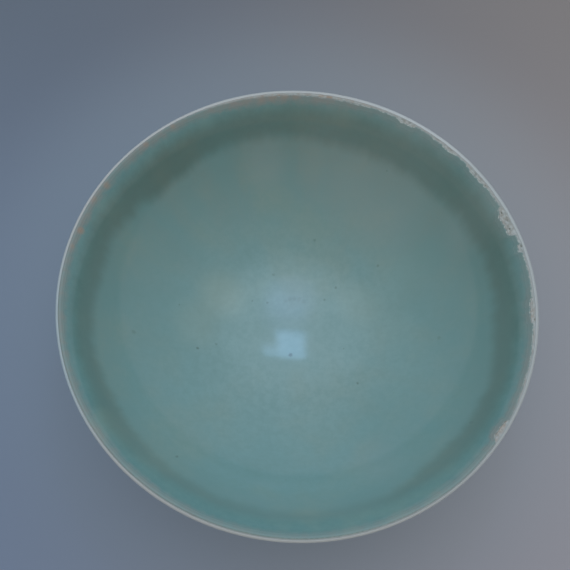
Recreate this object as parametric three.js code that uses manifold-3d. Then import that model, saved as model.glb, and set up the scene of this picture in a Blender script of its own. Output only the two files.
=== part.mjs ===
// A wide celadon bowl on a low turned foot ring, in millimetres, with +Z up.
// It stands on the plane z = 0, and the Z axis is the axis that it was turned on.
//
// The bowl is one piece of clay with three coats of glaze fired on it: one poured inside, one over
// the outside and the edge of the lip, and one in the hollow of the foot. Bare clay shows where the
// coats stop: in the worn seam on the lip, in the chips along that seam, and round the foot's rim.
// Every surface is spun from a profile, and a coat and the clay under it share the same surface.

import * as THREE from 'three';
import { mergeGeometries, mergeVertices } from 'three/addons/utils/BufferGeometryUtils.js';
import Module from 'manifold-3d';

// Overall size
const rimDiameter = 170; // across the outside of the glazed lip
const bowlHeight = 56; // from the table to the top of the lip
const floorHeight = 12.5; // from the table to the middle of the glazed floor

// The inside: a broad shallow floor that turns up to a steep shoulder, and a lip that flares again
const shoulderInset = 10.2; // from the outside of the lip in to the steepest place
const shoulderDrop = 9.5; // from the top of the lip down to it
const shoulderSlope = 62; // degrees from level
const lipSlope = 34; // degrees from level
const floorFlatness = 0.68; // how far out the floor stays level, against the shoulder's radius
const shoulderEase = 0.17; // how far down the shoulder stays steep, against its radius
const flareEase = 0.45; // how far each end of the flare stays straight, against its width

// Clay and glaze
const clayLipThickness = 1.8;
const clayFootThickness = 6; // of the wall where it leaves the foot
const wallTaper = 0.6; // below 1, the wall thins mostly near the foot
const glazeThickness = 0.6;
const lipSeamAngle = 70; // where the inner and outer glaze part on the crest, in degrees from level
const lipSeamWidth = 0.5; // bare clay between them

// Foot ring
const footDiameter = 62;
const footRingWidth = 5;
const footChamfer = 1;
const footBareHeight = 2; // wiped clean of glaze up to here, inside and out
const recessDepth = 6; // from the table up to the bare clay inside the foot
const recessCove = 2; // radius of the corner inside the foot

const chipOvercut = 1.2; // how far a chip's hollow goes on past the glaze

// Chips in the inner glaze: bearing round the lip in degrees from +X, length along the lip,
// and reach from the lip down the wall
const lipChips = [
  { bearing: 66, length: 10, reach: 1.2 },
  { bearing: 54, length: 15, reach: 1.4 },
  { bearing: 42, length: 14, reach: 1.6 },
  { bearing: 28, length: 13, reach: 3 },
  { bearing: 20, length: 4, reach: 1.8 },
  { bearing: 3, length: 11, reach: 1.4 },
  { bearing: -29, length: 9, reach: 1.2 },
];

// Fineness of the facets
const segmentsAround = 48;
const insideSteps = 14;
const outsideSteps = 11;
const underLipSteps = 2;
const outerCrestSteps = 3;
const innerCrestSteps = 2;
const coveSteps = 3;
const chipSegments = 16;
const searchSteps = 40;
const weldDistance = 1e-4;

const rimRadius = rimDiameter / 2;
const footRadius = footDiameter / 2;
const recessRadius = footRadius - footRingWidth;
const lipRadius = clayLipThickness / 2 + glazeThickness;
const lipCentre = new THREE.Vector2(rimRadius - lipRadius, bowlHeight - lipRadius);

// A vector of some length in the profile plane, at an angle in degrees from level.
function atAngle(degrees, length) {
  const angle = THREE.MathUtils.degToRad(degrees);
  return new THREE.Vector2(Math.cos(angle), Math.sin(angle)).multiplyScalar(length);
}

// The glazed inside, from the middle of the floor to the lip, where it meets the rounded crest.
function makeInsideForm() {
  const middle = new THREE.Vector2(0, floorHeight);
  const shoulder = new THREE.Vector2(rimRadius - shoulderInset, bowlHeight - shoulderDrop);
  const lip = lipCentre.clone().add(atAngle(lipSlope + 90, lipRadius));
  const floorHandle = new THREE.Vector2(floorFlatness * shoulder.x, floorHeight);
  const wallHandle = shoulder.clone().sub(atAngle(shoulderSlope, shoulderEase * shoulder.x));
  const flareHandle = flareEase * (lip.x - shoulder.x);
  const shoulderHandle = shoulder.clone().add(atAngle(shoulderSlope, flareHandle));
  const lipHandle = lip.clone().sub(atAngle(lipSlope, flareHandle));
  const form = new THREE.CurvePath();
  form.add(new THREE.CubicBezierCurve(middle, floorHandle, wallHandle, shoulder));
  form.add(new THREE.CubicBezierCurve(shoulder, shoulderHandle, lipHandle, lip));
  return form;
}

const insideForm = makeInsideForm();

// A point in the wall. Its share of the way from the middle to the lip is measured along the
// inside form, and its depth square to that.
function inWall(share, depth) {
  const point = insideForm.getPoint(share);
  const tangent = insideForm.getTangent(share);
  const radius = share === 0 ? 0 : point.x + tangent.y * depth;
  return new THREE.Vector2(radius, point.y - tangent.x * depth);
}

// The share of the way at which the surface at a given depth passes a given radius.
function shareAtRadius(radius, depthAt) {
  let nearer = 0;
  let further = 1;
  for (let step = 0; step < searchSteps; step++) {
    const share = (nearer + further) / 2;
    if (inWall(share, depthAt(share)).x < radius) nearer = share;
    else further = share;
  }
  return further;
}

const footShare = shareAtRadius(footRadius, () => glazeThickness + clayFootThickness);

// How deep the outside of the clay lies under the inside form.
function clayDepth(share) {
  const wayUp = Math.max(0, (share - footShare) / (1 - footShare)) ** wallTaper;
  return glazeThickness + THREE.MathUtils.lerp(clayFootThickness, clayLipThickness, wayUp);
}

// Points of the wall from one share to another, at the depth that a function gives.
function wallPoints(from, to, steps, depthAt) {
  const points = [];
  for (let step = 0; step <= steps; step++) {
    const share = THREE.MathUtils.lerp(from, to, step / steps);
    points.push(inWall(share, depthAt(share)));
  }
  return points;
}

// Points of a round corner, without its first point, which the line before it already holds.
function arcPoints(centre, radius, fromDegrees, toDegrees, steps) {
  const points = [];
  for (let step = 1; step <= steps; step++) {
    const angle = THREE.MathUtils.lerp(fromDegrees, toDegrees, step / steps);
    points.push(centre.clone().add(atAngle(angle, radius)));
  }
  return points;
}

// Where the round crest of the lip leaves the outside and the inside, where it is widest, and half
// the seam's angle.
const crestOutside = lipSlope - 90;
const crestInside = lipSlope + 90;
const crestWidest = 0;
const halfSeam = THREE.MathUtils.radToDeg(lipSeamWidth / clayLipThickness);

// The outside, from where the glaze stops on the foot, up the wall and over the edge of the lip to
// the seam, at some thickness of glaze over the clay.
function outsidePoints(glaze) {
  const depthAt = (share) => clayDepth(share) + glaze;
  const sideRadius = footRadius + glaze;
  const crestRadius = clayLipThickness / 2 + glaze;
  return [
    new THREE.Vector2(sideRadius, footBareHeight),
    ...wallPoints(shareAtRadius(sideRadius, depthAt), 1, outsideSteps, depthAt),
    ...arcPoints(lipCentre, crestRadius, crestOutside, crestWidest, underLipSteps),
    ...arcPoints(lipCentre, crestRadius, crestWidest, lipSeamAngle - halfSeam, outerCrestSteps),
  ];
}

// The inside, from the seam over the rest of the crest and down to the middle of the floor, at some
// depth under the glaze's face.
function insidePoints(depth) {
  const seam = lipSeamAngle + halfSeam;
  const crest = arcPoints(lipCentre, lipRadius - depth, crestInside, seam, innerCrestSteps);
  return [...crest.reverse(), ...wallPoints(1, 0, insideSteps, () => depth)];
}

// The hollow of the foot, from its middle out to where its glaze stops.
function recessPoints(glaze) {
  const ceiling = recessDepth - glaze;
  const side = recessRadius - glaze;
  const cove = recessCove - glaze;
  const coveCentre = new THREE.Vector2(side - cove, ceiling - cove);
  return [
    new THREE.Vector2(0, ceiling),
    new THREE.Vector2(side - cove, ceiling),
    ...arcPoints(coveCentre, cove, 90, 0, coveSteps),
    new THREE.Vector2(side, footBareHeight),
  ];
}

// The bare rim that the bowl stands on, between the two glazes.
function footRimPoints() {
  return [
    new THREE.Vector2(recessRadius, footBareHeight),
    new THREE.Vector2(recessRadius, footChamfer),
    new THREE.Vector2(recessRadius + footChamfer, 0),
    new THREE.Vector2(footRadius - footChamfer, 0),
    new THREE.Vector2(footRadius, footChamfer),
    new THREE.Vector2(footRadius, footBareHeight),
  ];
}

// A surface spun round the Z axis. It faces right of the way its profile runs, seen with Z up.
function spin(profile) {
  const surface = new THREE.LatheGeometry(profile, segmentsAround);
  surface.deleteAttribute('normal');
  surface.deleteAttribute('uv');
  return surface.rotateX(Math.PI / 2);
}

// The same surface, with the same facets, facing the other way.
function turnedOver(surface) {
  const corners = surface.index.array;
  for (let i = 0; i < corners.length; i += 3) {
    [corners[i + 1], corners[i + 2]] = [corners[i + 2], corners[i + 1]];
  }
  return surface;
}

// One closed body from surfaces that meet edge to edge. Facets that shrink to a line on the axis
// are left out.
function closedBody(surfaces) {
  const body = mergeVertices(mergeGeometries(surfaces), weldDistance);
  const corners = body.index.array;
  const kept = [];
  for (let i = 0; i < corners.length; i += 3) {
    const [a, b, c] = corners.subarray(i, i + 3);
    if (a !== b && b !== c && c !== a) kept.push(a, b, c);
  }
  return body.setIndex(kept);
}

// A coat of glaze on a stretch of the clay: its face over the clay's own surface turned over.
function coat(clayPoints, facePoints) {
  const face = [clayPoints[0], ...facePoints, clayPoints[clayPoints.length - 1]];
  return closedBody([spin(face), turnedOver(spin(clayPoints))]);
}

const wasm = await Module();
wasm.setup();

function toManifold(body) {
  const vertProperties = body.getAttribute('position').array;
  const triVerts = new Uint32Array(body.index.array);
  return new wasm.Manifold(new wasm.Mesh({ numProp: 3, vertProperties, triVerts }));
}

function toGeometry(manifold) {
  const { vertProperties, triVerts } = manifold.getMesh();
  return new THREE.BufferGeometry()
    .setAttribute('position', new THREE.BufferAttribute(vertProperties, 3))
    .setIndex(new THREE.BufferAttribute(triVerts, 1));
}

// The hollow that one chip leaves: a flattened ball on the inside of the lip, deep enough to go
// through the glaze and long enough to reach the seam.
function chipHollow({ bearing, length, reach }) {
  const depth = glazeThickness + chipOvercut;
  const lip = inWall(1, 0);
  const slope = THREE.MathUtils.degToRad(lipSlope);
  const alongLip = new THREE.Vector3(0, 1, 0);
  const upWall = new THREE.Vector3(Math.cos(slope), 0, Math.sin(slope));
  const offWall = alongLip.clone().cross(upWall);
  const ball = new THREE.SphereGeometry(1, chipSegments, chipSegments / 2);
  ball.deleteAttribute('normal');
  ball.deleteAttribute('uv');
  const place = new THREE.Matrix4().makeBasis(alongLip, upWall, offWall).setPosition(lip.x, 0, lip.y);
  const turn = new THREE.Matrix4().makeRotationZ(THREE.MathUtils.degToRad(bearing));
  ball.scale(length / 2, reach, depth).applyMatrix4(place).applyMatrix4(turn);
  return closedBody([ball]);
}

// Takes the chips out of the inner glaze.
function chipped(glaze) {
  let left = toManifold(glaze);
  for (const chip of lipChips) left = left.subtract(toManifold(chipHollow(chip)));
  return toGeometry(left);
}

const clayRecess = recessPoints(0);
const clayOutside = outsidePoints(0);
const clayInside = insidePoints(glazeThickness);
const claySeam = [clayOutside[clayOutside.length - 1], clayInside[0]];

const clay = closedBody([
  spin(clayRecess),
  spin(footRimPoints()),
  spin(clayOutside),
  spin(claySeam),
  spin(clayInside),
]);

const bareClay = new THREE.MeshStandardMaterial({ color: 0xb3a690, roughness: 0.85, metalness: 0 });
const celadon = new THREE.MeshStandardMaterial({ color: 0x7d9f99, roughness: 0.2, metalness: 0 });
const thinCeladon = new THREE.MeshStandardMaterial({ color: 0x93aca2, roughness: 0.25, metalness: 0 });

const bowl = new THREE.Group();

function addPiece(name, geometry, material) {
  const mesh = new THREE.Mesh(geometry, material);
  mesh.name = name;
  bowl.add(mesh);
}

addPiece('clay_body', clay, bareClay);
addPiece('inner_glaze', chipped(coat(clayInside, insidePoints(0))), celadon);
addPiece('outer_glaze', coat(clayOutside, outsidePoints(glazeThickness)), celadon);
addPiece('base_glaze', coat(clayRecess, recessPoints(glazeThickness)), thinCeladon);

export default bowl;
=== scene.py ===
import bisect
import math

import bmesh
import bpy
from mathutils import Color, Euler, Matrix, Vector, geometry, noise


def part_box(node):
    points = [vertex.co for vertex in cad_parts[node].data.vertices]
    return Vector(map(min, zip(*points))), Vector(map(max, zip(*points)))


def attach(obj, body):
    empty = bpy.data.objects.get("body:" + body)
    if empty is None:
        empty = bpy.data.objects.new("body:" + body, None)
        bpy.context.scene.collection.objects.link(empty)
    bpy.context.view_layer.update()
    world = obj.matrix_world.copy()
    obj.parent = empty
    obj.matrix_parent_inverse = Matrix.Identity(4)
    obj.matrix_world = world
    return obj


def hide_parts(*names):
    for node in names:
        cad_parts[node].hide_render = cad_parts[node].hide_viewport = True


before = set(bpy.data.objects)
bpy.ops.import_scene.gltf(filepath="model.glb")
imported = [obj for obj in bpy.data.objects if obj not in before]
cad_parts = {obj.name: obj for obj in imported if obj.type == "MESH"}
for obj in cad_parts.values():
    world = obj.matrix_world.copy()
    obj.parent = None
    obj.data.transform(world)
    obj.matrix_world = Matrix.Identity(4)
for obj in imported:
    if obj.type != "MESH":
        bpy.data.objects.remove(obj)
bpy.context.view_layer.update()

# A wide celadon bowl: its clay, and the three coats of glaze on it.
# Sizes are in millimetres, places in the cross-section are (radius, height), and bearings are
# degrees round the lip from +X. The frame is in metres.
mm = 0.001


def boxOf(node):
    low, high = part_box(node)
    return low / mm, high / mm


rimRadius = boxOf("outer_glaze")[1].x
lipTop = boxOf("inner_glaze")[1].z
footBareHeight = boxOf("outer_glaze")[0].z
recessRadius = boxOf("base_glaze")[1].x
recessDepth = boxOf("base_glaze")[1].z
glazeThickness = rimRadius - boxOf("clay_body")[1].x
floorHeight = boxOf("inner_glaze")[0].z + glazeThickness

bowlForm = {
    "shoulderInset": 10.2,      # from the outside of the lip in to the steepest place
    "shoulderDrop": 9.5,        # from the top of the lip down to it
    "shoulderSlope": 62,
    "lipSlope": 34,
    "floorFlatness": 0.68,
    "shoulderEase": 0.17,
    "flareEase": 0.45,
    "clayAtLip": 1.8,
    "clayAtFoot": 6,
    "wallTaper": 0.6,
    "seamAngle": 70,            # where the two glazes part on the crest of the lip
    "footRadius": 31,
    "footFillet": 3.5,
    "footChamfer": 1,
    "recessCove": 2,
    "curveSteps": 90,
    "arcStep": 4,
}
lipRadius = bowlForm["clayAtLip"] / 2 + glazeThickness
lipCentre = Vector((rimRadius - lipRadius, lipTop - lipRadius))
footSide = bowlForm["footRadius"] + glazeThickness
recessSide = recessRadius - glazeThickness


def atAngle(degrees, length):
    angle = math.radians(degrees)
    return Vector((math.cos(angle), math.sin(angle))) * length


def arcPoints(centre, radius, start, end):
    steps = math.ceil(abs(end - start) / bowlForm["arcStep"])
    return [centre + atAngle(start + (end - start) * i / steps, radius) for i in range(steps + 1)]


# A line of the cross-section: its points, how far along each lies, and the way out of the clay there
def makeLine(points, outward):
    points = [points[0]] + [b for a, b in zip(points, points[1:]) if (b - a).length > 1e-6]
    runs = [0]
    for a, b in zip(points, points[1:]):
        runs.append(runs[-1] + (b - a).length)
    ways = [(b - a).normalized() for a, b in zip(points, points[1:])]
    ways = [ways[0]] + [(a + b).normalized() for a, b in zip(ways, ways[1:])] + [ways[-1]]
    return {"points": points, "runs": runs, "length": runs[-1],
            "out": [Vector((way.y, -way.x)) * outward for way in ways]}


def onLine(line, run, depth=0):
    runs = line["runs"]
    i = min(max(bisect.bisect_right(runs, run) - 1, 0), len(runs) - 2)
    share = (run - runs[i]) / (runs[i + 1] - runs[i])
    point = line["points"][i].lerp(line["points"][i + 1], share)
    return point - line["out"][i].lerp(line["out"][i + 1], share) * depth


# The glazed inside, from the lip down to the middle of the floor
def insideCurve():
    form = bowlForm
    shoulder = Vector((rimRadius - form["shoulderInset"], lipTop - form["shoulderDrop"]))
    lip = lipCentre + atAngle(form["lipSlope"] + 90, lipRadius)
    middle = Vector((0, floorHeight))
    flare = form["flareEase"] * (lip.x - shoulder.x)
    lipHandle = lip - atAngle(form["lipSlope"], flare)
    upHandle = shoulder + atAngle(form["shoulderSlope"], flare)
    downHandle = shoulder - atAngle(form["shoulderSlope"], form["shoulderEase"] * shoulder.x)
    floorHandle = Vector((form["floorFlatness"] * shoulder.x, floorHeight))
    steps = form["curveSteps"]
    flarePoints = geometry.interpolate_bezier(lip, lipHandle, upHandle, shoulder, steps)
    floorPoints = geometry.interpolate_bezier(shoulder, downHandle, floorHandle, middle, steps)
    return flarePoints + floorPoints[1:]


wallLine = makeLine(insideCurve(), 1)


def underWall(share, clay):
    return onLine(wallLine, wallLine["length"] * share, glazeThickness + clay)


def footShare():
    steps = 400
    shares = [i / steps for i in range(steps)]
    return max(share for share in shares if underWall(share, bowlForm["clayAtFoot"]).x > bowlForm["footRadius"])


# The outside, from the crest of the lip down to where its glaze is wiped off the foot.
# The wall thickens on the way down, and runs into the foot in a fillet.
def outsideCurve():
    form = bowlForm
    steps = form["curveSteps"]
    crest = arcPoints(lipCentre, lipRadius, form["seamAngle"], form["lipSlope"] - 90)
    end = footShare()
    wall = []
    for i in range(1, steps + 1):
        lipward = (1 - i / steps) ** form["wallTaper"]
        clay = form["clayAtFoot"] + (form["clayAtLip"] - form["clayAtFoot"]) * lipward
        wall.append(underWall(end * i / steps, clay + glazeThickness))
    corner = Vector((footSide, wall[-1].y))
    wall = [point for point in wall if point.x > footSide + form["footFillet"]]
    below = corner - Vector((0, form["footFillet"] * 0.6))
    fillet = geometry.interpolate_bezier(wall[-1], wall[-1].lerp(corner, 0.6), below.lerp(corner, 0.6), below, 16)
    return crest + wall + fillet[1:] + [Vector((footSide, footBareHeight))]


# The hollow of the foot, from its middle out to where its glaze is wiped off
def recessCurve():
    cove = bowlForm["recessCove"] - glazeThickness
    ceiling = recessDepth - glazeThickness
    centre = Vector((recessSide - cove, ceiling - cove))
    return [Vector((0, ceiling)), *arcPoints(centre, cove, 90, 0), Vector((recessSide, footBareHeight))]


# The whole glazed skin is one line, from the middle of the inside over the lip and down to the foot
crestPoints = arcPoints(lipCentre, lipRadius, bowlForm["seamAngle"], bowlForm["lipSlope"] + 90)
crestLength = math.radians(bowlForm["lipSlope"] + 90 - bowlForm["seamAngle"]) * lipRadius
insideLength = makeLine(crestPoints + wallLine["points"][1:], 1)["length"]
skinLine = makeLine(wallLine["points"][:0:-1] + crestPoints[::-1] + outsideCurve(), -1)
outsideLength = skinLine["length"] - insideLength
recessLine = makeLine(recessCurve(), 1)


# A place on the skin. Its run is measured inwards from the seam, and is less than 0 outside it.
def onSkin(run, depth=0):
    return onLine(skinLine, insideLength - run, depth)


print("cross-section drawn")

# The lip, where the glaze is thin, worn and chipped
lipWear = {
    "thinnest": 0.22,
    "thinUpTo": 8,
    # bearing, and how far inside the seam the outer glaze ends
    "outerStart": [(0, 0.3), (20, 0.4), (35, 0.7), (75, 0.8), (95, 0.65), (115, 0.65), (130, 0.5), (150, 0.3),
                   (170, 0.15), (190, -0.1), (215, -0.3), (300, -0.5), (330, -0.2), (348, 0.15)],
    # bearing, and how wide the strip of clay between the two glazes is
    "bareWidth": [(0, 0.85), (20, 0.75), (33, 0.8), (60, 0.6), (74, 0.75), (84, 1.15), (98, 0.9), (112, 0.5),
                  (128, 0.15), (140, 0.03), (295, 0.03), (315, 0.3), (335, 0.55), (345, 0.75)],
    # bearing, and how brown the edge is
    "stain": [(0, 0.5), (20, 0.3), (45, 0.25), (70, 0.35), (88, 0.8), (112, 0.9), (122, 0.6), (138, 0.8),
              (148, 0.6), (160, 0.9), (176, 0.7), (205, 0.6), (250, 0.45), (290, 0.3), (318, 0.5), (335, 0.8)],
    "chips": [
        {"bearing": 66, "length": 10, "reach": 1.0},
        {"bearing": 54, "length": 15, "reach": 0.65},
        {"bearing": 42, "length": 14, "reach": 1.0},
        {"bearing": 28, "length": 13, "reach": 3.0},
        {"bearing": 20, "length": 4, "reach": 1.25},
        {"bearing": 3, "length": 11, "reach": 1.4},
        {"bearing": -29, "length": 9, "reach": 0.9},
    ],
    "chipDepth": 0.3,
    "pits": [
        {"bearing": 20.5, "run": 0.5, "radius": 0.7, "depth": 0.5},
        {"bearing": 0.9, "run": 0.4, "radius": 0.7, "depth": 0.5},
        {"bearing": 30.8, "run": 2.4, "radius": 0.45, "depth": 0.25},
        {"bearing": 28.2, "run": 1.9, "radius": 0.4, "depth": 0.25},
        {"bearing": 26.0, "run": 2.6, "radius": 0.4, "depth": 0.25},
        {"bearing": 39.0, "run": 1.6, "radius": 0.4, "depth": 0.2},
    ],
}

# The dark band below the lip: partly the glaze breaking over the turn of the wall, partly painted shade of that steep
# turn, strongest on the far side
darkBand = {
    # bearing, and the radius of its inner border, its outer border, and how strong it is
    "innerBorder": [(0, 71.3), (12, 72.6), (30, 72.6), (62, 71.3), (80, 71.4), (95, 71.9), (115, 72.6), (138, 70.4),
                    (152, 72.1), (162, 73.9), (171, 72.4), (181, 72.7), (192, 73.4), (210, 71.9), (235, 72.0),
                    (300, 72.4), (320, 70.7), (335, 72.6), (350, 72.6)],
    "outerBorder": [(0, 78.7), (15, 79.0), (32, 79.9), (70, 79.7), (84, 79.2), (100, 79.2), (118, 79.0), (132, 78.4),
                    (150, 78.2), (162, 79.2), (190, 79.1), (200, 79.2), (210, 78.4), (222, 79.0), (240, 77.2),
                    (300, 77.0), (330, 78.3)],
    "strength": [(0, 0.78), (25, 0.85), (60, 0.7), (100, 0.72), (138, 1.0), (152, 0.92), (172, 0.8), (188, 0.77), (212, 0.74),
                 (235, 0.5), (285, 0.25), (315, 0.62), (340, 0.78)],
}


def smooth(low, high, value):
    share = min(max((value - low) / (high - low), 0), 1)
    return share * share * (3 - 2 * share)


def turnBetween(a, b):
    return (a - b + 180) % 360 - 180


# A value at a bearing, from a list of bearings and values that goes once round the lip
def roundLip(table, bearing):
    following = [pair for pair in table if pair[0] > bearing] + [(table[0][0] + 360, table[0][1])]
    start = [pair for pair in table if pair[0] <= bearing][-1]
    end = following[0]
    return start[1] + (end[1] - start[1]) * smooth(start[0], end[0], bearing)


# Noise on the lip's surface, with grains of some size
def grain(bearing, run, size, seed):
    around = atAngle(bearing, rimRadius / size)
    return noise.noise(Vector((around.x, around.y, run / size + 17.3 * seed)))


def chipShare(chip, bearing):
    along = math.radians(turnBetween(bearing, chip["bearing"])) * rimRadius
    return max(0, 1 - (along / (chip["length"] / 2)) ** 2)


# How far inside the seam the outer glaze ends
def outerEdge(bearing):
    ragged = 0.16 * grain(bearing, 0, 3, 4) + 0.12 * grain(bearing, 0, 0.9, 5)
    return roundLip(lipWear["outerStart"], bearing) + ragged * smooth(0.2, 0.8, roundLip(lipWear["bareWidth"], bearing))


# How far inside the seam the inner glaze starts
def innerEdge(bearing):
    ragged = 1 + 0.26 * grain(bearing, 0, 3.2, 0) + 0.2 * grain(bearing, 0, 1.2, 1)
    edge = outerEdge(bearing) + roundLip(lipWear["bareWidth"], bearing) * max(0.2, ragged)
    broken = 0.94 + 0.2 * grain(bearing, 0, 2.1, 2) + 0.16 * grain(bearing, 0, 0.8, 3)
    for chip in lipWear["chips"]:
        edge = max(edge, (crestLength + chip["reach"]) * chipShare(chip, bearing) ** 0.3 * broken)
    return edge


# How far above its lowest place a glaze ends on the foot
def footEdge(bearing):
    return max(0, 0.45 + 0.6 * grain(bearing, 0, 24, 6) + 0.3 * grain(bearing, 0, 6, 7))


spinSteps = 1080
spinCuts = 8                    # a coarse spin is cut finer, which is quicker than a fine spin
bearings = [360 * i / spinSteps for i in range(spinSteps)]
innerEdges = [innerEdge(bearing) for bearing in bearings]
outerEdges = [outerEdge(bearing) for bearing in bearings]
footEdges = [footEdge(bearing) for bearing in bearings]
stains = [roundLip(lipWear["stain"], bearing) for bearing in bearings]
brokenness = [smooth(0.2, 1, inner - outer) for inner, outer in zip(innerEdges, outerEdges)]
bands = [[roundLip(darkBand[part], bearing) for part in ("innerBorder", "outerBorder", "strength")]
         for bearing in bearings]


def stepOf(bearing):
    return round(bearing / 360 * spinSteps) % spinSteps


def glazeDepth(run):
    return lipWear["thinnest"] + (glazeThickness - lipWear["thinnest"]) * smooth(0, lipWear["thinUpTo"], abs(run))


# Runs from an edge onwards, close together at first and then wider apart
def growingRuns(length, first, widest, growth=1.16):
    runs = [0]
    space = first
    while runs[-1] + space < length:
        runs.append(runs[-1] + space)
        space = min(space * growth, widest)
    return runs


# The rounded edge of a coat: how far in, and how deep from its face, 0, down to the clay, 1
coatEdge = [(0, 1), (0, 0.55), (0.05, 0.24), (0.14, 0.08), (0.3, 0)]


# A coat's profile goes along its face and comes back on the clay. It ends in a rounded edge, or on the axis.
def coatProfile(length, faceRuns, backRuns, edgeFirst, edgeLast):
    first = coatEdge if edgeFirst else [(0, 1), (0, 0)]
    last = [(length - run, share) for run, share in reversed(coatEdge)] if edgeLast else [(length, 0), (length, 1)]
    face = [(run, 0) for run in faceRuns if first[-1][0] < run < last[0][0]]
    back = [(run, 1) for run in reversed(backRuns) if 0 < run < length]
    return [{"run": run, "share": share} for run, share in first + face + last + back]


# Spins a closed profile into a piece. Each point settles to the shape at its own bearing, and keeps
# what its material needs to know.
def spinPiece(name, profile, settle, facts):
    bm = bmesh.new()
    ring = bm.verts.layers.int.new("ring")
    layers = [bm.verts.layers.float.new(fact) for fact in facts]
    verts = []
    for number, mark in enumerate(profile):
        place = settle(mark, 0)[0]
        vert = bm.verts.new((place.x if place.x > 0.01 else 0, 0, place.y))
        vert[ring] = number
        verts.append(vert)
    loop = zip(verts, verts[1:] + verts[:1])
    edges = [bm.edges.new(pair) for pair in loop if max(vert.co.x for vert in pair) > mm]
    bmesh.ops.spin(bm, geom=verts + edges, cent=(0, 0, 0), axis=(0, 0, 1), angle=math.tau,
                   steps=spinSteps // spinCuts, use_merge=True)
    bmesh.ops.remove_doubles(bm, verts=[vert for vert in bm.verts if vert.co.xy.length < mm], dist=mm)
    hoops = [edge for edge in bm.edges if edge.verts[0][ring] == edge.verts[1][ring]]
    bmesh.ops.subdivide_edges(bm, edges=hoops, cuts=spinCuts - 1, use_grid_fill=True)
    for vert in bm.verts:
        bearing = math.degrees(math.atan2(vert.co.y, vert.co.x)) % 360
        place, told = settle(profile[vert[ring]], bearing)
        around = atAngle(bearing, place.x if vert.co.xy.length > mm else 0)
        vert.co = (around.x, around.y, place.y)
        for layer, fact in zip(layers, told):
            vert[layer] = fact
    bmesh.ops.scale(bm, vec=(mm, mm, mm), verts=bm.verts)
    bmesh.ops.recalc_face_normals(bm, faces=bm.faces)
    for face in bm.faces:
        face.smooth = True
    bm.verts.layers.int.remove(ring)
    mesh = bpy.data.meshes.new(name)
    bm.to_mesh(mesh)
    bm.free()
    mesh.set_sharp_from_angle(angle=math.radians(50))
    piece = bpy.data.objects.new(name, mesh)
    bpy.context.scene.collection.objects.link(piece)
    print(name, "spun:", len(mesh.polygons), "faces")
    return piece


# Inner glaze: from its worn and chipped edge on the lip to the middle of the floor
innerGlazeForm = {"firstSpace": 0.07, "widestSpace": 2.4, "waveHeight": 0.03, "waveSize": 16}


def makeInnerGlaze():
    form = innerGlazeForm

    def settle(mark, bearing):
        step = stepOf(bearing)
        edge = innerEdges[step]
        run = edge + mark["run"] * (1 - edge / insideLength)
        place = onSkin(run, mark["share"] * glazeDepth(run))
        flat = atAngle(bearing, place.x / form["waveSize"])
        wave = form["waveHeight"] * noise.noise(Vector((flat.x, flat.y, 3.7)))
        place.y += wave * smooth(3, 14, run) * (1 - mark["share"])
        return place, (run - edge, brokenness[step], stains[step], *bands[step])

    face = growingRuns(insideLength, form["firstSpace"], form["widestSpace"])
    back = growingRuns(insideLength, 1, 9, 1.4)
    profile = coatProfile(insideLength, face, back, True, False)
    facts = ["fromEdge", "broken", "stain", "bandInner", "bandOuter", "bandStrength"]
    return spinPiece("innerGlaze", profile, settle, facts)


# Outer glaze: from the crest of the lip down to the foot
outerGlazeForm = {"firstSpace": 0.07, "widestSpace": 2.4, "ridgeDepth": 0.05, "ridgeSize": 2.6}


def makeOuterGlaze():
    form = outerGlazeForm

    def settle(mark, bearing):
        step = stepOf(bearing)
        length = outsideLength + outerEdges[step] - footEdges[step]
        down = mark["run"] * length / outsideLength
        run = outerEdges[step] - down
        ridge = form["ridgeDepth"] * (0.5 + grain(0, run, form["ridgeSize"], 20) + 0.3 * grain(bearing, run, 12, 21))
        ridge *= smooth(5, 12, down) * smooth(length, length - 6, down) * (1 - mark["share"])
        return onSkin(run, mark["share"] * glazeDepth(run) + ridge), (down, stains[step])

    half = outsideLength / 2
    near = growingRuns(half, form["firstSpace"], form["widestSpace"])
    face = near + [outsideLength - run for run in reversed(near)]
    back = growingRuns(outsideLength, 1, 9, 1.4)
    profile = coatProfile(outsideLength, face, back, True, True)
    return spinPiece("outerGlaze", profile, settle, ["fromEdge", "stain"])


# Base glaze: the thin coat in the hollow of the foot
baseGlazeForm = {"firstSpace": 0.12, "widestSpace": 1.6, "waveHeight": 0.05, "waveSize": 7}


def makeBaseGlaze():
    form = baseGlazeForm
    line = recessLine

    def settle(mark, bearing):
        edge = footEdges[stepOf(bearing + 140)]
        run = mark["run"] * (1 - edge / line["length"])
        place = onLine(line, run, mark["share"] * glazeThickness)
        flat = atAngle(bearing, place.x / form["waveSize"])
        wave = form["waveHeight"] * (0.5 + noise.noise(Vector((flat.x, flat.y, 8.2))))
        place.y += wave * smooth(line["length"] - 2, line["length"] - 6, run) * (1 - mark["share"])
        return place, (line["length"] - edge - run,)

    face = [line["length"] - run for run in growingRuns(line["length"], form["firstSpace"], form["widestSpace"])]
    back = growingRuns(line["length"], 1, 6, 1.4)
    profile = coatProfile(line["length"], sorted(face), back, False, True)
    return spinPiece("baseGlaze", profile, settle, ["fromEdge"])


# Clay: it shows between the glazes on the lip and on the rim of the foot
clayForm = {"bareSpace": 0.24, "bareOutside": 1.6, "bareInside": 6.2, "footSpace": 0.5, "gritHeight": 0.05}


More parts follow.
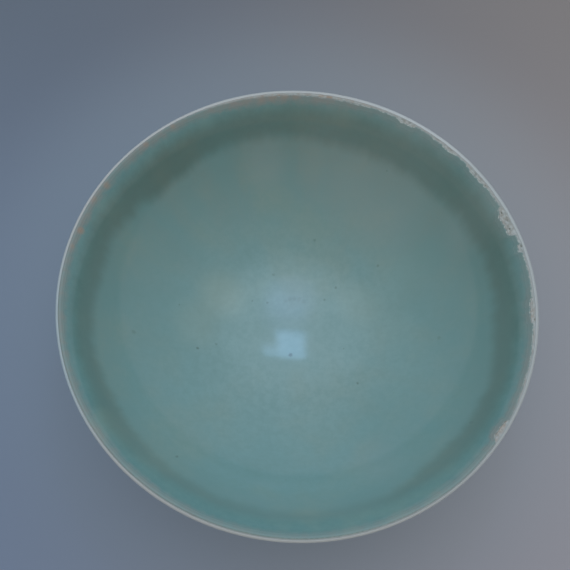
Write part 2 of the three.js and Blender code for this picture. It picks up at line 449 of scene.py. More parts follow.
# How deep the clay lies at a place on the lip, and what is to be seen there
def lipClay(bearing, run):
    step = stepOf(bearing)
    bare = smooth(0, 0.5, min(run - outerEdges[step], innerEdges[step] - run))
    rough = 0.05 * grain(bearing, run, 2.4, 8) + 0.07 * grain(bearing, run, 0.8, 9)
    chipped = max(chipShare(chip, bearing) for chip in lipWear["chips"]) ** 0.5
    hollow = lipWear["chipDepth"] * chipped * smooth(0.4, 1.4, run) * (0.7 + grain(bearing, run, 1.6, 10))
    # how much of the place is a pit, which the clay's colour darkens as painted shade
    pitShade = 0
    dent = 0
    for place in lipWear["pits"]:
        away = math.radians(turnBetween(bearing, place["bearing"])) * rimRadius
        radius = place["radius"] * (1 + 0.7 * grain(bearing, run, 0.7, 13))
        here = smooth(1.2, 0.3, math.hypot(away, run - place["run"]) / radius) * bare
        dent += place["depth"] * here
        pitShade = max(pitShade, here)
    small = smooth(0.3, 0.55, grain(bearing, run, 0.75, 16)) * bare * smooth(0.6, 1.4, run) * chipped
    dent += 0.12 * small
    pitShade = max(pitShade, 0.4 * small)
    inward = 0.4 * smooth(0.8, 0.2, innerEdges[step] - run) + 0.25 * chipped - 0.15
    crumb = smooth(0.08, 0.4, grain(bearing, run, 1.1, 11) + 0.3 * grain(bearing, run, 0.5, 12) + inward)
    crumb *= bare * (1 - pitShade) * (1 - 0.7 * stains[step])
    depth = glazeDepth(run) + bare * (rough + hollow) + dent - 0.12 * crumb
    return depth, crumb, pitShade


def makeClay():
    form = clayForm

    def settle(mark, bearing):
        run = mark["run"]
        if "place" in mark:
            grit = form["gritHeight"] * max(0, grain(bearing, run, 1.2, 14) + 0.4 * grain(bearing, run, 0.5, 15))
            return mark["place"] + Vector((0, grit * mark["worn"])), (0, 0, 0)
        depth, crumb, pitShade = glazeDepth(run), 0, 0
        if -form["bareOutside"] < run < form["bareInside"]:
            depth, crumb, pitShade = lipClay(bearing, run)
        step = stepOf(bearing)
        return onSkin(run, depth), (crumb, pitShade, stains[step] * brokenness[step])

    def fixed(place, run=0, worn=0):
        return {"place": place, "run": run, "worn": worn}

    def footMarks():
        foot = bowlForm["footRadius"]
        chamfer = bowlForm["footChamfer"]
        corners = [(recessRadius, footBareHeight), (recessRadius, chamfer), (recessRadius + chamfer, 0),
                   (foot - chamfer, 0), (foot, chamfer), (foot, footBareHeight)]
        marks = []
        for start, end in zip(map(Vector, corners), map(Vector, corners[1:])):
            steps = math.ceil((end - start).length / form["footSpace"])
            for i in range(1 if marks else 0, steps + 1):
                place = start.lerp(end, i / steps)
                marks.append(fixed(place, 10 * place.x + place.y, float(place.y < 0.01)))
        return marks[1:-1]

    inRecess = [0, 6, 12, 18, 23] + [recessLine["length"] - run for run in (4, 3, 2, 1.2, 0.5, 0)]
    recess = [fixed(onLine(recessLine, run, glazeThickness)) for run in inRecess]
    low = [outsideLength - run for run in (0, 0.5, 1, 1.5, 2.2, 3, 4.5, 7)]
    hidden = [run for run in growingRuns(outsideLength - 9, 5, 9) if run > form["bareOutside"]]
    outside = [-run for run in low + hidden[::-1]]
    steps = round((form["bareOutside"] + form["bareInside"]) / form["bareSpace"])
    bare = [form["bareSpace"] * i - form["bareOutside"] for i in range(steps + 1)]
    far = [form["bareInside"] + 1 + 8 * i for i in range(20)]
    inside = [run for run in far if run < insideLength] + [insideLength]
    skin = [{"run": run} for run in outside + bare + inside]
    return spinPiece("clayBody", recess + footMarks() + skin, settle, ["crumb", "pitShade", "stain"])


# Materials

def paint(red, green, blue):
    return [*Color((red / 255, green / 255, blue / 255)).from_srgb_to_scene_linear(), 1]


def addNode(tree, kind, inputs=None, **settings):
    node = tree.nodes.new(kind)
    for name, value in settings.items():
        setattr(node, name, value)
    for socket, value in (inputs or {}).items():
        if isinstance(value, bpy.types.NodeSocket):
            tree.links.new(value, node.inputs[socket])
        else:
            node.inputs[socket].default_value = value
    return node


def calculate(tree, operation, *values, clamp=False):
    return addNode(tree, "ShaderNodeMath", dict(enumerate(values)), operation=operation, use_clamp=clamp).outputs[0]


def ease(tree, value, low, high, start=0, end=1):
    inputs = {"Value": value, "From Min": low, "From Max": high, "To Min": start, "To Max": end}
    return addNode(tree, "ShaderNodeMapRange", inputs, interpolation_type="SMOOTHSTEP").outputs[0]


def blend(tree, share, under, over, mode="MIX"):
    node = addNode(tree, "ShaderNodeMix", {0: share, 6: under, 7: over}, data_type="RGBA", blend_type=mode)
    return node.outputs[2]


def cloud(tree, place, size, detail=2, roughness=0.5):
    inputs = {"Vector": place, "Scale": 1 / (size * mm), "Detail": detail, "Roughness": roughness}
    return addNode(tree, "ShaderNodeTexNoise", inputs).outputs["Fac"]


def objectPlace(tree):
    return addNode(tree, "ShaderNodeTexCoord").outputs["Object"]


def combine(tree, operation, first, second=None, scale=None):
    inputs = {0: first} | ({} if second is None else {1: second}) | ({} if scale is None else {"Scale": scale})
    return addNode(tree, "ShaderNodeVectorMath", inputs, operation=operation).outputs


def fact(tree, name):
    return addNode(tree, "ShaderNodeAttribute", attribute_name=name).outputs["Fac"]


# An effect that several materials share. Its sockets are given as (name, kind, first value).
def newEffect(name, inputs, outputs):
    tree = bpy.data.node_groups.new(name, "ShaderNodeTree")
    for socket, kind, value in inputs:
        made = tree.interface.new_socket(socket, in_out="INPUT", socket_type="NodeSocket" + kind)
        if value is not None:
            made.default_value = value
    for socket, kind in outputs:
        tree.interface.new_socket(socket, in_out="OUTPUT", socket_type="NodeSocket" + kind)
    return tree, addNode(tree, "NodeGroupInput").outputs, addNode(tree, "NodeGroupOutput")


def useEffect(tree, effect, inputs):
    return addNode(tree, "ShaderNodeGroup", inputs, node_tree=effect).outputs


def colourBands(tree, value, bands):
    ramp = addNode(tree, "ShaderNodeValToRGB", {0: value})
    stops = ramp.color_ramp.elements
    for i, (position, colour) in enumerate(bands):
        stop = stops[i] if i < 2 else stops.new(position)
        stop.position = position
        stop.color = paint(*colour)
    return ramp.outputs[0]


# Soft clouds of a warmer and a deeper shade in a glaze, and a fine mottle
def makeClouds():
    tree, given, result = newEffect("glazeClouds", [
        ("Place", "Vector", None), ("Glaze", "Color", None), ("Warmer", "Color", None), ("Deeper", "Color", None),
        ("Size", "Float", 20), ("Strength", "Float", 0.5)], [("Colour", "Color")])
    scale = calculate(tree, "DIVIDE", 1 / mm, given["Size"])
    big = addNode(tree, "ShaderNodeTexNoise", {"Vector": given["Place"], "Scale": scale, "Detail": 2}).outputs["Fac"]
    finer = calculate(tree, "MULTIPLY", scale, 3.1)
    small = addNode(tree, "ShaderNodeTexNoise", {"Vector": given["Place"], "Scale": finer, "Detail": 3}).outputs["Fac"]
    both = calculate(tree, "ADD", calculate(tree, "MULTIPLY", big, 0.7), calculate(tree, "MULTIPLY", small, 0.3))
    warm = calculate(tree, "MULTIPLY", ease(tree, both, 0.44, 0.72), given["Strength"])
    deep = calculate(tree, "MULTIPLY", ease(tree, both, 0.54, 0.28), given["Strength"])
    colour = blend(tree, warm, given["Glaze"], given["Warmer"])
    colour = blend(tree, deep, colour, given["Deeper"])
    mottle = calculate(tree, "MULTIPLY", ease(tree, cloud(tree, given["Place"], 2.6, 4, 0.65), 0.3, 0.7), 0.33)
    tree.links.new(blend(tree, mottle, colour, given["Deeper"]), result.inputs["Colour"])
    return tree


# Pinholes and iron specks, one in some of the cells that the surface is cut into
def makePinholes():
    tree, given, result = newEffect("pinholes", [
        ("Place", "Vector", None), ("Spacing", "Float", 8), ("Radius", "Float", 0.3), ("Share", "Float", 0.4)],
        [("Mask", "Float")])
    scale = calculate(tree, "DIVIDE", 1 / mm, given["Spacing"])
    cells = addNode(tree, "ShaderNodeTexVoronoi", {"Vector": given["Place"], "Scale": scale}).outputs
    away = calculate(tree, "MULTIPLY", cells["Distance"], given["Spacing"])
    chance = addNode(tree, "ShaderNodeSeparateColor", {0: cells["Color"]}).outputs
    radius = calculate(tree, "MULTIPLY", given["Radius"], calculate(tree, "ADD", chance[1], 0.5))
    inside = ease(tree, calculate(tree, "DIVIDE", away, radius), 1.2, 0.5)
    chosen = calculate(tree, "LESS_THAN", chance[0], given["Share"])
    tree.links.new(calculate(tree, "MULTIPLY", inside, chosen), result.inputs["Mask"])
    return tree


# One speck or smudge at a place in the bowl, given in metres
def makeSpeck():
    tree, given, result = newEffect("speck", [
        ("Place", "Vector", None), ("Middle", "Vector", None), ("Radius", "Float", 0.5)], [("Mask", "Float")])
    shift = addNode(tree, "ShaderNodeTexNoise", {"Vector": given["Place"], "Scale": 1 / (0.9 * mm)}).outputs["Color"]
    shift = combine(tree, "SCALE", combine(tree, "SUBTRACT", shift, (0.5, 0.5, 0.5))[0], scale=0.7 * mm)[0]
    flat = combine(tree, "MULTIPLY", combine(tree, "ADD", given["Place"], shift)[0], (1, 1, 0))[0]
    away = combine(tree, "DISTANCE", flat, given["Middle"])[1]
    reach = calculate(tree, "DIVIDE", calculate(tree, "DIVIDE", away, mm), given["Radius"])
    tree.links.new(ease(tree, reach, 1.5, 0.3), result.inputs["Mask"])
    return tree


# The height of a fired glaze's skin, in millimetres: slow waves and a faint orange peel
def makeSkin():
    tree, given, result = newEffect("glazeSkin", [
        ("Place", "Vector", None), ("Waves", "Float", 0.02), ("Peel", "Float", 0.002)], [("Height", "Float")])
    waves = calculate(tree, "MULTIPLY", cloud(tree, given["Place"], 9, 1), given["Waves"])
    peel = calculate(tree, "MULTIPLY", cloud(tree, given["Place"], 0.9, 2), given["Peel"])
    tree.links.new(calculate(tree, "ADD", waves, peel), result.inputs["Height"])
    return tree


# A glaze towards its edge: stained in a soft strip, and pale where it is thin or broken. On the outer glaze the pale
# colour also holds painted light on the crest.
def makeEdgeTint():
    tree, given, result = newEffect("glazeEdge", [
        ("Place", "Vector", None), ("Glaze", "Color", None), ("From Edge", "Float", 10),
        ("Stained", "Color", None), ("Stain", "Float", 0), ("Stain Width", "Float", 3),
        ("Thin", "Color", None), ("Thinness", "Float", 1), ("Thin Width", "Float", 1), ("Crumbled", "Float", 0)],
        [("Colour", "Color")])
    uneven = ease(tree, cloud(tree, given["Place"], 2.4, 2), 0.3, 0.7, 0.8, 1.2)
    away = calculate(tree, "DIVIDE", given["From Edge"], uneven)
    patches = ease(tree, cloud(tree, given["Place"], 4, 3, 0.6), 0.36, 0.64, 0.55, 1)
    stain = calculate(tree, "MULTIPLY", patches, given["Stain"])
    stain = calculate(tree, "MULTIPLY", stain, ease(tree, calculate(tree, "DIVIDE", away, given["Stain Width"]), 1.1, 0.2))
    thin = ease(tree, calculate(tree, "DIVIDE", away, given["Thin Width"]), 1.1, 0.4)
    crumbs = ease(tree, cloud(tree, given["Place"], 1.1, 2), 0.42, 0.6)
    crumbled = ease(tree, crumbs, 0, 1, calculate(tree, "SUBTRACT", 1, given["Crumbled"]), 1)
    thin = calculate(tree, "MULTIPLY", calculate(tree, "MULTIPLY", thin, given["Thinness"]), crumbled)
    colour = blend(tree, stain, given["Glaze"], given["Stained"])
    tree.links.new(blend(tree, thin, colour, given["Thin"]), result.inputs["Colour"])
    return tree


clouds = makeClouds()
pinholes = makePinholes()
speck = makeSpeck()
skin = makeSkin()
edgeTint = makeEdgeTint()


def newMaterial(piece, name, roughness, gloss):
    material = bpy.data.materials.new(name)
    material.use_nodes = True
    shader = material.node_tree.nodes["Principled BSDF"]
    shader.inputs["Roughness"].default_value = roughness
    shader.inputs["Specular IOR Level"].default_value = gloss
    piece.data.materials.append(material)
    return material.node_tree, shader


def giveBump(tree, shader, height, strength=1):
    bump = addNode(tree, "ShaderNodeBump", {"Height": height, "Distance": mm, "Strength": strength})
    tree.links.new(bump.outputs[0], shader.inputs["Normal"])


innerGlazeLook = {
    # radius, and the glaze's colour there: partly the glaze's own tone, partly painted shade of the bowl's inside
    "rings": [(0, (116, 150, 153)), (25, (119, 156, 160)), (45, (109, 150, 154)), (62, (104, 144, 147)),
              (74, (100, 135, 136)), (78, (84, 125, 127)), (82, (81, 121, 125)), (84, (91, 127, 130))],
    # the far side of the wall, warmer and darker: partly the glaze's tint from a smokier fire, partly painted shade
    # where the wall faces away from the light
    "smokeAndShade": (248, 240, 237),
    "smokeAndShadeFrom": -55,
    "smokeAndShadeTo": 70,
    "streak": (118, 132, 126),
    "band": (74, 92, 84),
    "warmer": (124, 144, 134),
    "deeper": (98, 136, 136),
    "cloudSize": 30,
    "cloudStrength": 0.36,
    "ridge": (155, 169, 168),
    "stained": (118, 122, 120),
    "dark": (62, 78, 74),
    "rust": (134, 120, 106),
    # broad soft patches: where they are, how big, and how strong
    "blush": (132, 148, 148),
    "blushPatches": [(31, 57, 19, 0.28), (8, 66, 14, 0.2), (62, 43, 10, 0.24), (34, -47, 9, 0.18),
                     (-17, 64, 8, 0.24)],
    "warm": (154, 171, 160),
    "warmPatches": [(-38, 1, 9, 0.16), (-29, 15, 9, 0.24), (24, 17, 8, 0.14), (34, 8, 10, 0.07), (38, 28, 10, 0.06)],
    "cool": (92, 137, 141),
    "coolPatches": [(60, 9, 12, 0.28), (38, -32, 16, 0.3), (-48, -5, 12, 0.2), (-53, 31, 12, 0.26),
                    (-36, 64, 9, 0.24)],
    # where the specks are, how big, and how dark
    "specks": [(-0.7, -5.3, 0.75, 0.7), (-35.7, -7.8, 0.55, 0.5), (25.3, -15.0, 0.5, 0.4), (14.3, 22.8, 0.5, 0.35),
               (-17.2, 14.5, 0.4, 0.3), (-11.4, 14.5, 0.45, 0.3), (10.4, 17.8, 0.45, 0.3), (4.5, 40.2, 0.5, 0.3),
               (29.6, 31.6, 0.5, 0.3), (-37.4, -54.5, 0.5, 0.35), (-29.1, -4.8, 0.5, 0.3), (-10.1, 25.7, 0.5, 0.25),
               (-59.0, -7.8, 0.8, 0.2), (53.8, 2.5, 0.6, 0.2), (64.2, -34.6, 0.6, 0.2),
               # these five, in an arc above the middle of the floor, paint a dark streak of the mirrored glow
               (-4.5, 16.1, 0.9, 0.1), (-2.9, 16.9, 0.9, 0.13), (-1.2, 17.3, 0.9, 0.13), (0.6, 17.2, 0.9, 0.12),
               (2.3, 16.4, 0.9, 0.1)],
    # bearing, radius, size and strength of the brown spots and soft stains by the lip
    "rustSpots": [(166.4, 82.1, 1.3, 0.65), (152.6, 82.4, 1.3, 0.5), (157.5, 83.0, 1.2, 0.4),
                  (171.2, 82.8, 0.9, 0.4), (137.5, 82.9, 1.1, 0.4), (129.0, 82.9, 1.2, 0.4),
                  (95.5, 82.6, 1.5, 0.3), (98.5, 82.5, 1.6, 0.36), (101.5, 82.4, 1.6, 0.36), (104.5, 82.4, 1.5, 0.3),
                  (109.0, 82.4, 1.4, 0.2)],
    "roughness": 0.085,
    "edgeRoughness": 0.4,
    "gloss": 0.5,
}


def finishInnerGlaze(piece):
    look = innerGlazeLook
    tree, shader = newMaterial(piece, "celadonInside", look["roughness"], look["gloss"])
    place = objectPlace(tree)
    flat = combine(tree, "MULTIPLY", place, (1, 1, 0))[0]
    radius = calculate(tree, "DIVIDE", combine(tree, "LENGTH", flat)[1], mm)
    # rings of colour by radius: the glaze's own tone with painted shade of the inside worked in
    rings = [(ring / rimRadius, colour) for ring, colour in look["rings"]]
    glaze = colourBands(tree, calculate(tree, "DIVIDE", radius, rimRadius), rings)
    onWall = calculate(tree, "MULTIPLY", ease(tree, radius, 20, 64), ease(tree, radius, 82, 76, 0.4, 1))
    # painted shade and a smokier tint: the wall turns warmer and darker towards its far side
    along = calculate(tree, "DIVIDE", addNode(tree, "ShaderNodeSeparateXYZ", {0: place}).outputs[1], mm)
    smokeAndShade = calculate(tree, "MULTIPLY", ease(tree, along, look["smokeAndShadeFrom"], look["smokeAndShadeTo"]), onWall)
    glaze = blend(tree, smokeAndShade, glaze, paint(*look["smokeAndShade"]), "MULTIPLY")
    around = combine(tree, "SCALE", combine(tree, "NORMALIZE", flat)[0], scale=rimRadius * mm)[0]
    drawn = combine(tree, "ADD", around, combine(tree, "SCALE", place, scale=0.3)[0])[0]
    streak = calculate(tree, "MULTIPLY", ease(tree, cloud(tree, drawn, 22, 4, 0.6), 0.4, 0.75), smokeAndShade)
    glaze = blend(tree, calculate(tree, "MULTIPLY", streak, 0.3), glaze, paint(*look["streak"]))
    glaze = useEffect(tree, clouds, {"Place": place, "Glaze": glaze, "Warmer": paint(*look["warmer"]),
                                     "Deeper": paint(*look["deeper"]), "Size": look["cloudSize"],
                                     "Strength": look["cloudStrength"]})["Colour"]
    for tint in ("blush", "warm", "cool"):
        for x, y, size, strength in look[tint + "Patches"]:
            mask = useEffect(tree, speck, {"Place": place, "Middle": (x * mm, y * mm, 0), "Radius": size})["Mask"]
            glaze = blend(tree, calculate(tree, "MULTIPLY", mask, strength), glaze, paint(*look[tint]))
    # the dark band: partly the glaze over the turn of the wall, partly painted shade of the steep wall
    wobble = calculate(tree, "MULTIPLY", calculate(tree, "SUBTRACT", cloud(tree, drawn, 8, 2), 0.5), 3.2)
    wavy = calculate(tree, "ADD", radius, wobble)
    band = ease(tree, calculate(tree, "SUBTRACT", wavy, fact(tree, "bandInner")), -2.2, 2)
    band = calculate(tree, "MULTIPLY", band, fact(tree, "bandStrength"))
    outer = calculate(tree, "SUBTRACT", wavy, fact(tree, "bandOuter"))
    band = calculate(tree, "MULTIPLY", band, ease(tree, outer, 2.4, -2.6))
    glaze = blend(tree, calculate(tree, "MULTIPLY", band, 0.55), glaze, paint(*look["band"]))
    dark = useEffect(tree, pinholes, {"Place": place, "Spacing": 9, "Radius": 0.25, "Share": 0.35})["Mask"]
    dark = calculate(tree, "MULTIPLY", dark, 0.3)
    # dark specks, and a painted dark streak of the mirrored glow above the middle
    for x, y, size, strength in look["specks"]:
        mask = useEffect(tree, speck, {"Place": place, "Middle": (x * mm, y * mm, 0), "Radius": size})["Mask"]
        dark = calculate(tree, "MAXIMUM", dark, calculate(tree, "MULTIPLY", mask, strength))
    glaze = blend(tree, dark, glaze, paint(*look["dark"]))
    ridge = calculate(tree, "MULTIPLY", fact(tree, "broken"), ease(tree, fact(tree, "stain"), 0.3, 0.9, 1, 0.3))
    glaze = useEffect(tree, edgeTint, {"Place": place, "Glaze": glaze, "From Edge": fact(tree, "fromEdge"),
                                       "Stained": paint(*look["stained"]), "Stain": fact(tree, "stain"),
                                       "Stain Width": 4, "Thin": paint(*look["ridge"]), "Thinness": ridge,
                                       "Thin Width": 0.4, "Crumbled": 0.9})["Colour"]
    rust = 0
    for bearing, distance, size, strength in look["rustSpots"]:
        spot = atAngle(bearing, distance * mm)
        mask = useEffect(tree, speck, {"Place": place, "Middle": (spot.x, spot.y, 0), "Radius": size})["Mask"]
        rust = calculate(tree, "MAXIMUM", rust, calculate(tree, "MULTIPLY", mask, strength))
    glaze = blend(tree, rust, glaze, paint(*look["rust"]))
    tree.links.new(glaze, shader.inputs["Base Color"])
    worn = ease(tree, fact(tree, "fromEdge"), 0.3, 4, look["edgeRoughness"], look["roughness"])
    tree.links.new(worn, shader.inputs["Roughness"])
    giveBump(tree, shader, useEffect(tree, skin, {"Place": place, "Waves": 0.02, "Peel": 0.002})["Height"])


outerGlazeLook = {
    "glaze": (120, 150, 146),
    "pooled": (86, 120, 114),
    "warmer": (134, 152, 144),
    "deeper": (100, 134, 130),
    # near its edge the outer glaze is thin and pale; the pale crest is partly painted light from above, bluer on the
    # left, greyer on the right and palest at the right back
    "thin": (157, 167, 169),
    "thinLitLeft": (150, 170, 178),
    "thinLitRight": (151, 163, 166),
    "litPalest": (161, 173, 176),
    "leftPlace": (-0.081, -0.025, 0),
    "litPalestPlace": (0.038, 0.074, 0),
    "stained": (140, 122, 102),
    "dark": (62, 70, 62),
    "roughness": 0.18,
    "gloss": 0.5,
}


def finishOuterGlaze(piece):
    look = outerGlazeLook
    tree, shader = newMaterial(piece, "celadonOutside", look["roughness"], look["gloss"])
    place = objectPlace(tree)
    height = calculate(tree, "DIVIDE", addNode(tree, "ShaderNodeSeparateXYZ", {0: place}).outputs[2], mm)
    run = calculate(tree, "ADD", height, calculate(tree, "MULTIPLY", cloud(tree, place, 18, 2), 6))
    glaze = blend(tree, ease(tree, run, 13, 5), paint(*look["glaze"]), paint(*look["pooled"]))
    glaze = useEffect(tree, clouds, {"Place": place, "Glaze": glaze, "Warmer": paint(*look["warmer"]),
                                     "Deeper": paint(*look["deeper"]), "Size": 22, "Strength": 0.4})["Colour"]
    dark = useEffect(tree, pinholes, {"Place": place, "Spacing": 8, "Radius": 0.3, "Share": 0.3})["Mask"]
    glaze = blend(tree, calculate(tree, "MULTIPLY", dark, 0.5), glaze, paint(*look["dark"]))
    # painted light on the pale crest: bluer to the left, greyer to the right, palest at the right back
    across = addNode(tree, "ShaderNodeSeparateXYZ", {0: place}).outputs[0]
    thin = blend(tree, ease(tree, across, 0.02, 0.075), paint(*look["thin"]), paint(*look["thinLitRight"]))
    left = useEffect(tree, speck, {"Place": place, "Middle": look["leftPlace"], "Radius": 34})["Mask"]
    thin = blend(tree, left, thin, paint(*look["thinLitLeft"]))
    litPalest = useEffect(tree, speck, {"Place": place, "Middle": look["litPalestPlace"], "Radius": 22})["Mask"]
    thin = blend(tree, calculate(tree, "MULTIPLY", litPalest, 0.8), thin, paint(*look["litPalest"]))
    glaze = useEffect(tree, edgeTint, {"Place": place, "Glaze": glaze, "From Edge": fact(tree, "fromEdge"),
                                       "Stained": paint(*look["stained"]), "Stain": 0, "Stain Width": 1,
                                       "Thin": thin, "Thinness": 1, "Thin Width": 3.5})["Colour"]
    tree.links.new(glaze, shader.inputs["Base Color"])
    giveBump(tree, shader, useEffect(tree, skin, {"Place": place, "Waves": 0.05, "Peel": 0.003})["Height"])


baseGlazeLook = {
    "glaze": (142, 164, 156),
    "warmer": (158, 160, 138),
    "deeper": (112, 140, 134),
    "thin": (168, 158, 134),
    "stained": (146, 108, 74),
    "dark": (72, 62, 48),
    "roughness": 0.28,
    "gloss": 0.5,
}


def finishBaseGlaze(piece):
    look = baseGlazeLook
    tree, shader = newMaterial(piece, "celadonThin", look["roughness"], look["gloss"])
    place = objectPlace(tree)
    glaze = useEffect(tree, clouds, {"Place": place, "Glaze": paint(*look["glaze"]), "Warmer": paint(*look["warmer"]),
                                     "Deeper": paint(*look["deeper"]), "Size": 11, "Strength": 0.7})["Colour"]
    dark = useEffect(tree, pinholes, {"Place": place, "Spacing": 5, "Radius": 0.3, "Share": 0.35})["Mask"]
    glaze = blend(tree, calculate(tree, "MULTIPLY", dark, 0.6), glaze, paint(*look["dark"]))
    glaze = useEffect(tree, edgeTint, {"Place": place, "Glaze": glaze, "From Edge": fact(tree, "fromEdge"),
                                       "Stained": paint(*look["stained"]), "Stain": 0.8, "Stain Width": 1.6,
                                       "Thin": paint(*look["thin"]), "Thinness": 1, "Thin Width": 0.5})["Colour"]
    tree.links.new(glaze, shader.inputs["Base Color"])
    giveBump(tree, shader, useEffect(tree, skin, {"Place": place, "Waves": 0.05, "Peel": 0.004})["Height"])


clayLook = {
    "clay": (168, 156, 138),
    "grey": (142, 140, 132),
    "burnt": (152, 112, 82),
    # on the lip, where a film of glaze is left on the clay
    "worn": (146, 160, 162),
    "wornGrey": (134, 147, 149),
    "beige": (148, 154, 152),
    "brown": (138, 126, 112),
    "film": (140, 153, 157),
    "filmBehind": (159, 171, 177),
    "crumb": (161, 174, 177),
    # painted shade in the pits
    "pitShade": (96, 104, 94),
    "grit": (96, 84, 70),
    "roughness": 0.8,
    "gloss": 0.3,
}


def finishClay(piece):
    look = clayLook
    tree, shader = newMaterial(piece, "bareClay", look["roughness"], look["gloss"])
    place = objectPlace(tree)
    height = calculate(tree, "DIVIDE", addNode(tree, "ShaderNodeSeparateXYZ", {0: place}).outputs[2], mm)
    patches = ease(tree, cloud(tree, place, 3.2, 4, 0.6), 0.38, 0.66)
    clay = blend(tree, patches, paint(*look["clay"]), paint(*look["grey"]))
    line = calculate(tree, "ADD", height, calculate(tree, "MULTIPLY", cloud(tree, place, 9, 3), 1.6))
    clay = blend(tree, ease(tree, line, 0.9, 2.6), clay, paint(*look["burnt"]))
    worn = blend(tree, ease(tree, cloud(tree, place, 1.5, 3, 0.6), 0.38, 0.62), paint(*look["worn"]),
                 paint(*look["wornGrey"]))
    worn = blend(tree, ease(tree, cloud(tree, place, 2.1, 3, 0.6), 0.6, 0.76), worn, paint(*look["beige"]))
    stain = calculate(tree, "MULTIPLY", fact(tree, "stain"), ease(tree, cloud(tree, place, 2.6, 3, 0.6), 0.36, 0.6))
    worn = blend(tree, stain, worn, paint(*look["brown"]))
    flat = combine(tree, "MULTIPLY", place, (1, 1, 0))[0]
    radius = calculate(tree, "DIVIDE", combine(tree, "LENGTH", flat)[1], mm)
    behind = ease(tree, addNode(tree, "ShaderNodeSeparateXYZ", {0: place}).outputs[1], 0.04, 0.075)
    film = blend(tree, behind, paint(*look["film"]), paint(*look["filmBehind"]))
    worn = blend(tree, ease(tree, radius, 82.8, 84, 0, 0.8), worn, film)
    worn = blend(tree, fact(tree, "crumb"), worn, paint(*look["crumb"]))
    # pits darkened with painted shade
    worn = blend(tree, fact(tree, "pitShade"), worn, paint(*look["pitShade"]))
    clay = blend(tree, ease(tree, height, 20, 30), clay, worn)
    grit = useEffect(tree, pinholes, {"Place": place, "Spacing": 1.6, "Radius": 0.16, "Share": 0.5})["Mask"]
    gritty = calculate(tree, "MULTIPLY", grit, ease(tree, height, 20, 30, 0.4, 0.12))
    clay = blend(tree, gritty, clay, paint(*look["grit"]))
    tree.links.new(clay, shader.inputs["Base Color"])
    rough = calculate(tree, "MULTIPLY", cloud(tree, place, 0.5, 4, 0.7), 0.12)
    giveBump(tree, shader, calculate(tree, "SUBTRACT", rough, calculate(tree, "MULTIPLY", grit, 0.08)))


def standFor(piece, node):
    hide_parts(node)
    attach(piece, "root")


clayBody = makeClay()
finishClay(clayBody)
standFor(clayBody, "clay_body")

innerGlaze = makeInnerGlaze()
finishInnerGlaze(innerGlaze)
standFor(innerGlaze, "inner_glaze")

outerGlaze = makeOuterGlaze()
finishOuterGlaze(outerGlaze)
standFor(outerGlaze, "outer_glaze")

baseGlaze = makeBaseGlaze()
finishBaseGlaze(baseGlaze)
standFor(baseGlaze, "base_glaze")
print("pieces finished")

# Floor, light and camera
stage = {
    "floorSize": 6,
    "floorLeft": (103, 121, 144),
    "floorRight": (138, 141, 149),
    "floorBehind": (221, 215, 204),
    # a soft pool of light round the bowl
    "floorLit": (200, 235, 250),
    "litShare": 0.1,
    "litMiddle": (0, 0.021, 0),
    "litFrom": 0.152,
    "litTo": 0.08,
    # the sky in front of the bowl and behind it, and how bright the horizon is against overhead
    "skyNear": {"colour": (254, 243, 236), "level": 0.95},
    "skyBehind": {"colour": (242, 245, 253), "level": 1.32},
    "horizon": 0.94,
    # a darker room than the sky is what the glaze mirrors
    "mirrored": 0.32,
    # soft patches of light in what is mirrored: the way to each, and how many degrees from there it
    # starts to fade and ends
    "glows": [
        {"way": (0.042, 0.125, 0.991), "full": 4.2, "gone": 8.5, "colour": (160, 188, 246), "level": 1.25},
        {"way": (0.054, 0.2, 0.978), "full": 1.5, "gone": 8, "colour": (148, 182, 247), "level": 0.95},
        {"way": (0.03, 0.234, 0.972), "full": 7.5, "gone": 25, "colour": (208, 236, 255), "level": 1.22},
    ],
    "windows": [
        {"width": 0.1136, "height": 0.1255, "watts": 0.22, "place": (0.023, 0.4063, 1.1)},
        {"width": 0.06, "height": 0.054, "watts": 0.032, "place": (0.109, 0.45, 1.1)},
    ],
    "windowTilt": -20,
    "windowTurn": 5.5,
    "windowColour": (0.34, 0.64, 1.06),
}


def makeFloor():
    bm = bmesh.new()
    bmesh.ops.create_grid(bm, x_segments=1, y_segments=1, size=stage["floorSize"] / 2)
    mesh = bpy.data.meshes.new("floor")
    bm.to_mesh(mesh)
    bm.free()
    floor = bpy.data.objects.new("floor", mesh)
    bpy.context.scene.collection.objects.link(floor)
    tree, shader = newMaterial(floor, "floorPaper", 0.9, 0.3)
    place = objectPlace(tree)
    across, along = addNode(tree, "ShaderNodeSeparateXYZ", {0: place}).outputs[:2]
    colour = blend(tree, ease(tree, across, -0.14, 0.14), paint(*stage["floorLeft"]), paint(*stage["floorRight"]))
    colour = blend(tree, ease(tree, along, -0.05, 0.2), colour, paint(*stage["floorBehind"]), "MULTIPLY")
    away = combine(tree, "DISTANCE", place, stage["litMiddle"])[1]
    lit = ease(tree, away, stage["litFrom"], stage["litTo"], 0, stage["litShare"])
    colour = blend(tree, lit, colour, paint(*stage["floorLit"]))
    tree.links.new(colour, shader.inputs["Base Color"])


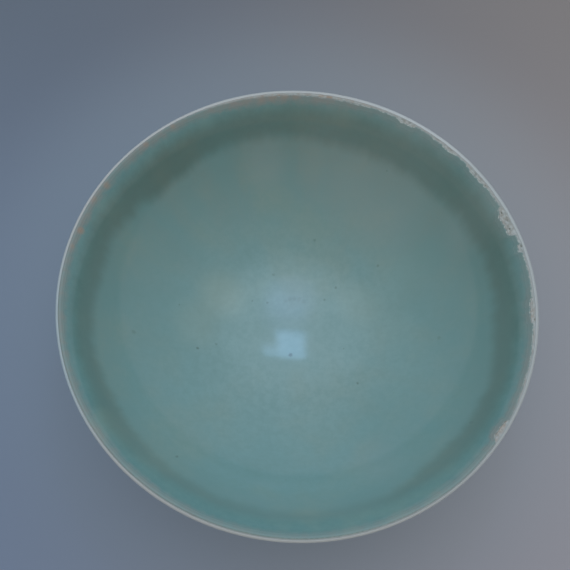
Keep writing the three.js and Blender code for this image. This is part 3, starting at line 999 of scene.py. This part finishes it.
def makeSky():
    world = bpy.data.worlds.new("softDome")
    bpy.context.scene.world = world
    world.use_nodes = True
    tree = world.node_tree
    toSky = addNode(tree, "ShaderNodeTexCoord").outputs["Generated"]
    way = addNode(tree, "ShaderNodeSeparateXYZ", {0: toSky}).outputs
    near, behind = stage["skyNear"], stage["skyBehind"]
    side = ease(tree, way[1], -1, 1)
    level = calculate(tree, "MULTIPLY", ease(tree, side, 0, 1, near["level"], behind["level"]),
                      ease(tree, way[2], 0, 1, stage["horizon"], 1))
    mirrored = addNode(tree, "ShaderNodeLightPath").outputs["Is Glossy Ray"]
    level = calculate(tree, "MULTIPLY", level, ease(tree, mirrored, 0, 1, 1, stage["mirrored"]))
    sky = combine(tree, "SCALE", blend(tree, side, paint(*near["colour"]), paint(*behind["colour"])), scale=level)[0]
    for glow in stage["glows"]:
        towards = combine(tree, "DOT_PRODUCT", toSky, Vector(glow["way"]).normalized())[1]
        full, gone = (math.cos(math.radians(glow[part])) for part in ("full", "gone"))
        glowing = calculate(tree, "MULTIPLY", ease(tree, towards, gone, full, 0, glow["level"]), mirrored)
        patch = combine(tree, "SCALE", paint(*glow["colour"])[:3], scale=glowing)[0]
        sky = combine(tree, "ADD", sky, patch)[0]
    tree.links.new(sky, tree.nodes["Background"].inputs["Color"])


# The small lamps that the middle of the bowl mirrors
def makeWindows():
    for form in stage["windows"]:
        lamp = bpy.data.lights.new("window", "AREA")
        lamp.shape = "RECTANGLE"
        lamp.size = form["width"]
        lamp.size_y = form["height"]
        lamp.energy = form["watts"]
        lamp.color = stage["windowColour"]
        light = bpy.data.objects.new("window", lamp)
        bpy.context.scene.collection.objects.link(light)
        light.location = form["place"]
        light.rotation_euler = (math.radians(stage["windowTilt"]), 0, math.radians(stage["windowTurn"]))


camera = {"lens": 85, "target": (-0.00528, 0.00597, 0.0545), "distance": 0.4763, "elevation": 67.98, "roll": 5.38}


def makeCamera():
    data = bpy.data.cameras.new("camera")
    data.lens = camera["lens"]
    data.sensor_width = 36
    eye = bpy.data.objects.new("camera", data)
    bpy.context.scene.collection.objects.link(eye)
    tilt = Euler((math.radians(90 - camera["elevation"]), 0, 0)).to_matrix()
    turn = tilt @ Matrix.Rotation(math.radians(camera["roll"]), 3, "Z")
    eye.matrix_world = Matrix.Translation(Vector(camera["target"]) + tilt.col[2] * camera["distance"]) @ turn.to_4x4()
    bpy.context.scene.camera = eye


makeFloor()
makeSky()
makeWindows()
makeCamera()
bpy.context.scene.view_settings.view_transform = "Standard"
print("floor, light and camera placed")
